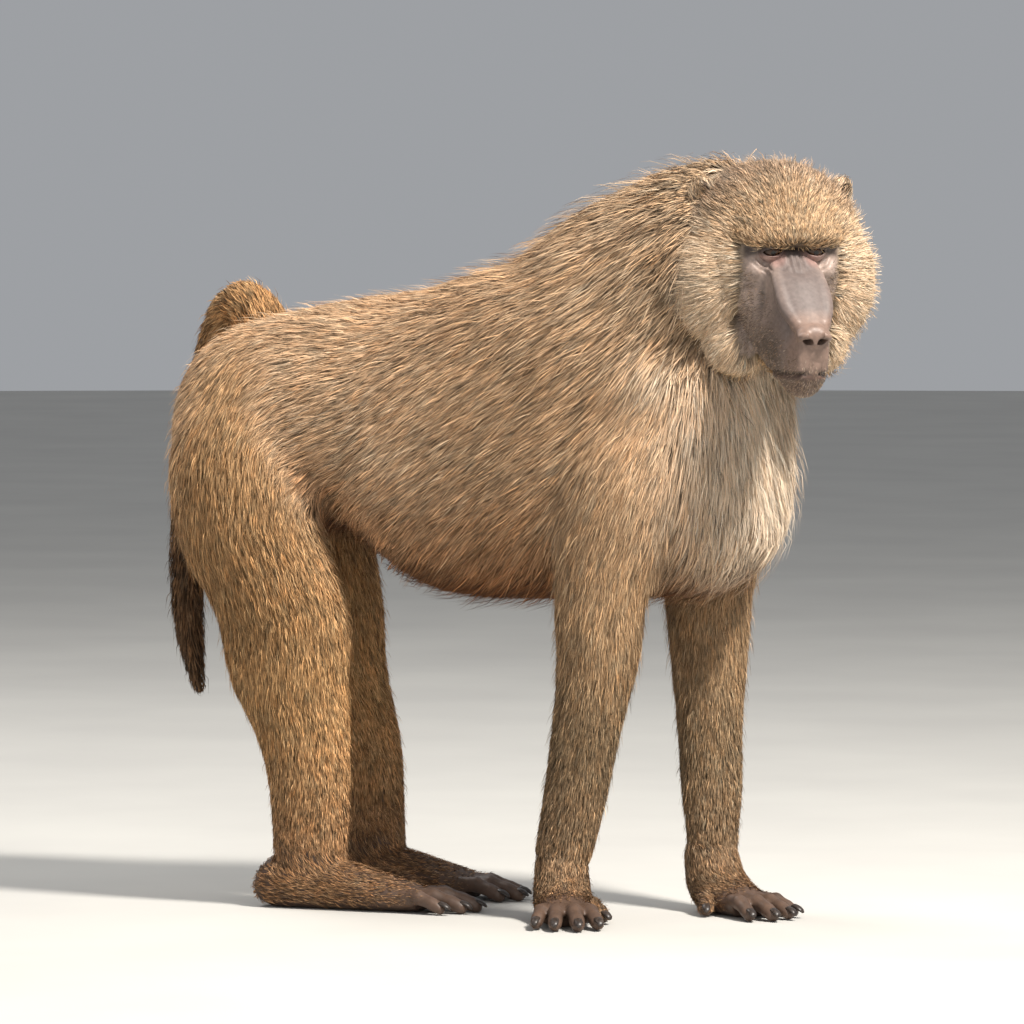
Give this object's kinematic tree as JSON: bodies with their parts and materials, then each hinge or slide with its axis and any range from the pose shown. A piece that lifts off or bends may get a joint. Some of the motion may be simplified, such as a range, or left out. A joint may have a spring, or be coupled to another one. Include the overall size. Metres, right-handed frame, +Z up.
{
  "type": "baboon",
  "caption": "Standing adult male olive baboon, life-size still model with turned head, long muzzle, cheek ruff, mane and hanging tail.",
  "frame": {"origin": "middle of the outline's plan, on the floor under the animal", "axes": "+X the way the trunk faces, +Y the animal's left, +Z up"},
  "size_m": [0.8138, 0.3444, 0.7553],
  "materials": {
    "coat": "coarse grizzled coat, yellowish brown banded with dark brown",
    "ruff": "dense longer coat of the head and neck, yellowish grey-brown",
    "limb_coat": "short close coat, darker brown towards the hands and feet",
    "tail_coat": "short dark brown coat with a small tuft",
    "face_skin": "bare mauve-grey skin, satin",
    "hand_skin": "dark bare skin, dull",
    "eye": "glossy amber brown"
  },
  "bodies": {
    "root": {"abdomen": "coat", "chest": "coat", "ear_left": "hand_skin", "ear_right": "hand_skin", "eye_left": "eye", "eye_right": "eye", "foot_left": "hand_skin", "foot_right": "hand_skin", "forearm_left": "limb_coat", "forearm_right": "limb_coat", "hand_left": "hand_skin", "hand_right": "hand_skin", "head": "ruff", "jaw": "face_skin", "muzzle": "face_skin", "neck": "ruff", "pelvis": "coat", "seat_pads": "hand_skin", "shank_left": "limb_coat", "shank_right": "limb_coat", "tail_middle": "tail_coat", "tail_root": "tail_coat", "tail_tip": "tail_coat", "thigh_left": "coat", "thigh_right": "coat", "upper_arm_left": "coat", "upper_arm_right": "coat"}
  },
  "joints": []
}
